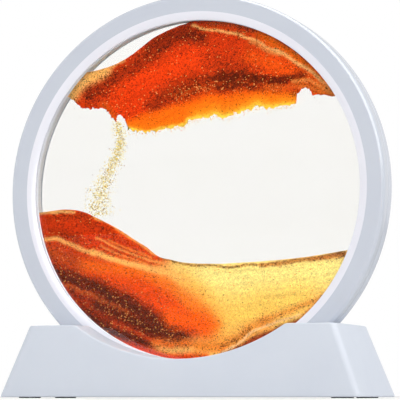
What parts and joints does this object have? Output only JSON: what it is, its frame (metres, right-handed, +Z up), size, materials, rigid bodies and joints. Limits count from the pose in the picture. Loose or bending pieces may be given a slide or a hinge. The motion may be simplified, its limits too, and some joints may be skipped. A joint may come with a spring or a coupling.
{
  "type": "moving sand art frame",
  "caption": "Round liquid-filled glass picture with coloured sand in a plastic ring frame, which stands and turns in a slotted trapezoid stand.",
  "frame": {"origin": "middle of the stand's underside, on the table", "axes": "+Z up, +X along the stand's length to the right as seen from the front, and the picture faces -Y"},
  "size_m": [0.18, 0.0658, 0.1854],
  "materials": {
    "frame_plastic": "gloss",
    "stand_plastic": "satin",
    "cover_plastic": "matte",
    "clear_glass": "polished",
    "spacer_plastic": "satin",
    "gasket_rubber": "matte",
    "plug_rubber": "matte",
    "clear_liquid": "polished",
    "red_sand": "matte",
    "gold_sand": "matte",
    "amber_sand": "matte",
    "dark_sand": "matte",
    "pale_sand": "matte",
    "screw_steel": "satin",
    "foot_rubber": "matte"
  },
  "bodies": {
    "stand": {"stand_shell": "stand_plastic", "bottom_cover": "cover_plastic", "cover_screw_1": "screw_steel", "cover_screw_2": "screw_steel", "cover_screw_3": "screw_steel", "cover_screw_4": "screw_steel", "stand_foot_1": "foot_rubber", "stand_foot_2": "foot_rubber", "stand_foot_3": "foot_rubber", "stand_foot_4": "foot_rubber"},
    "disc": {"front_bezel": "frame_plastic", "rear_bezel": "frame_plastic", "front_gasket": "gasket_rubber", "rear_gasket": "gasket_rubber", "front_glass": "clear_glass", "rear_glass": "clear_glass", "spacer_ring": "spacer_plastic", "filler_plug": "plug_rubber", "liquid_fill": "clear_liquid", "upper_sand_red": "red_sand", "upper_sand_gold": "gold_sand", "upper_sand_amber": "amber_sand", "sand_trickle": "pale_sand", "dune_red": "red_sand", "dune_gold": "gold_sand", "dune_dark": "dark_sand"}
  },
  "joints": [
    {"name": "disc_turn", "type": "hinge", "parent": "stand", "child": "disc", "pos_m": [0, 0, 0.0954], "axis": [0, -1, 0], "continuous": true}
  ]
}
